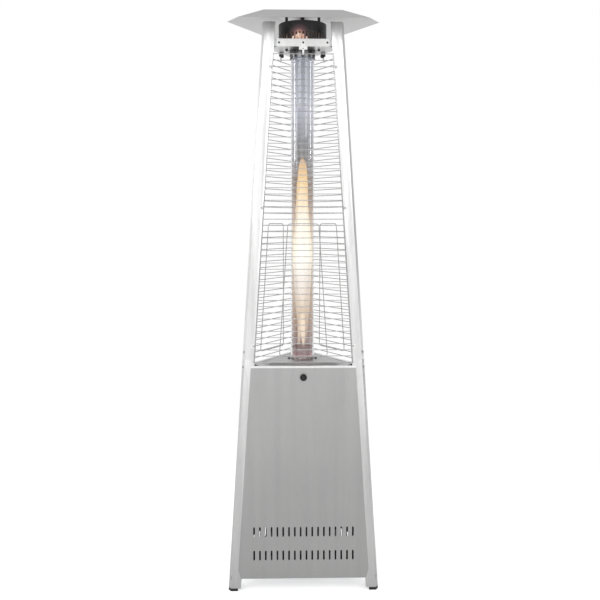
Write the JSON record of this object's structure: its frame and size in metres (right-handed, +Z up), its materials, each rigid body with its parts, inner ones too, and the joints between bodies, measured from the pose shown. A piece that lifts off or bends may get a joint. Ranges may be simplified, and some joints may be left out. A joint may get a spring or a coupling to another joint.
{
  "type": "gas patio heater",
  "caption": "Tall tapering outdoor gas heater: a cabinet with a gas cylinder, a glass flame tube between leaning posts with wire guards, a perforated hood and a folded reflector.",
  "frame": {"origin": "on the flame tube's axis at floor level", "axes": "+Z up along the flame tube, -Y towards the front panel with the control knob, +X to the right of someone who faces the front"},
  "size_m": [0.6174, 0.5497, 2.346],
  "materials": {
    "brushed_stainless": "fine brushing, satin",
    "zinc_plated_steel": "zinc plated, satin",
    "bright_wire": "bright plated wire",
    "black_enamel": "matt heat-proof black",
    "black_plastic": "moulded, fine grain",
    "red_plastic": "moulded",
    "brass": "turned, satin",
    "cast_aluminium": "die cast, dull",
    "drawn_pipe": "drawn, satin",
    "quartz_glass": "clear, polished",
    "heat_stained_steel": "dulled and browned by heat",
    "white_ceramic": "glazed",
    "glass_fibre": "woven, dull",
    "cylinder_paint": "semi-gloss grey",
    "hose_rubber": "matt black"
  },
  "bodies": {
    "heater": {"angle_brackets": "zinc_plated_steel", "base_tray": "zinc_plated_steel", "burner_head": "heat_stained_steel", "burner_plate": "heat_stained_steel", "burner_shroud": "heat_stained_steel", "cylinder_valve": "brass", "deck": "brushed_stainless", "deck_screws": "black_enamel", "door_magnet": "black_plastic", "flame_hood": "black_enamel", "foot_pads": "black_plastic", "front_panel": "brushed_stainless", "gas_cylinder": "cylinder_paint", "gas_hose": "hose_rubber", "gas_valve": "cast_aluminium", "glass_tube": "quartz_glass", "guard_clips": "brushed_stainless", "guard_front": "bright_wire", "guard_left": "bright_wire", "guard_right": "bright_wire", "guard_screws": "zinc_plated_steel", "hinge_leaves_post": "zinc_plated_steel", "hinge_pins": "zinc_plated_steel", "igniter": "white_ceramic", "jet_holder": "brass", "joining_sleeves": "zinc_plated_steel", "left_panel": "brushed_stainless", "lower_post_left": "brushed_stainless", "lower_post_rear": "brushed_stainless", "lower_post_right": "brushed_stainless", "main_pipe": "drawn_pipe", "mixing_tube": "heat_stained_steel", "pan_screws": "zinc_plated_steel", "panel_nuts": "zinc_plated_steel", "pilot_burner": "heat_stained_steel", "pilot_pipe": "drawn_pipe", "post_bolts": "zinc_plated_steel", "reflector": "brushed_stainless", "reflector_rods": "zinc_plated_steel", "regulator": "cast_aluminium", "rod_nuts": "zinc_plated_steel", "rod_spacers": "black_enamel", "support_pan": "brushed_stainless", "thermocouple": "heat_stained_steel", "thumb_screws": "black_enamel", "tilt_switch": "black_plastic", "tube_collar": "brushed_stainless", "tube_gaskets": "glass_fibre", "upper_post_left": "brushed_stainless", "upper_post_rear": "brushed_stainless", "upper_post_right": "brushed_stainless", "valve_bracket": "zinc_plated_steel"},
    "door": {"door": "brushed_stainless", "hinge_leaves_door": "zinc_plated_steel", "door_pull": "black_plastic", "door_strike": "zinc_plated_steel"},
    "plug": {"valve_plug": "brass"},
    "knob": {"knob_stem": "zinc_plated_steel", "control_knob": "black_plastic"},
    "handwheel": {"handwheel": "red_plastic"}
  },
  "joints": [
    {"name": "door_swing", "type": "hinge", "parent": "heater", "child": "door", "pos_m": [0.02403, 0.32107, 0.16513], "axis": [0, -0.0744, 0.9972], "range_deg": [0, 110]},
    {"name": "knob_turn", "type": "hinge", "parent": "heater", "child": "plug", "pos_m": [0, -0.15106, 0.883], "axis": [0, -0.9993, 0.0373], "range_deg": [-180, 0]},
    {"name": "knob_push", "type": "slide", "parent": "plug", "child": "knob", "axis": [0, 0.9993, -0.0373], "range_m": [0, 0.005], "stiffness_N_per_m": 600},
    {"name": "handwheel_turn", "type": "hinge", "parent": "heater", "child": "handwheel", "pos_m": [0, 0, 0.4665], "axis": [0, 0, 1], "range_deg": [-540, 0]}
  ]
}
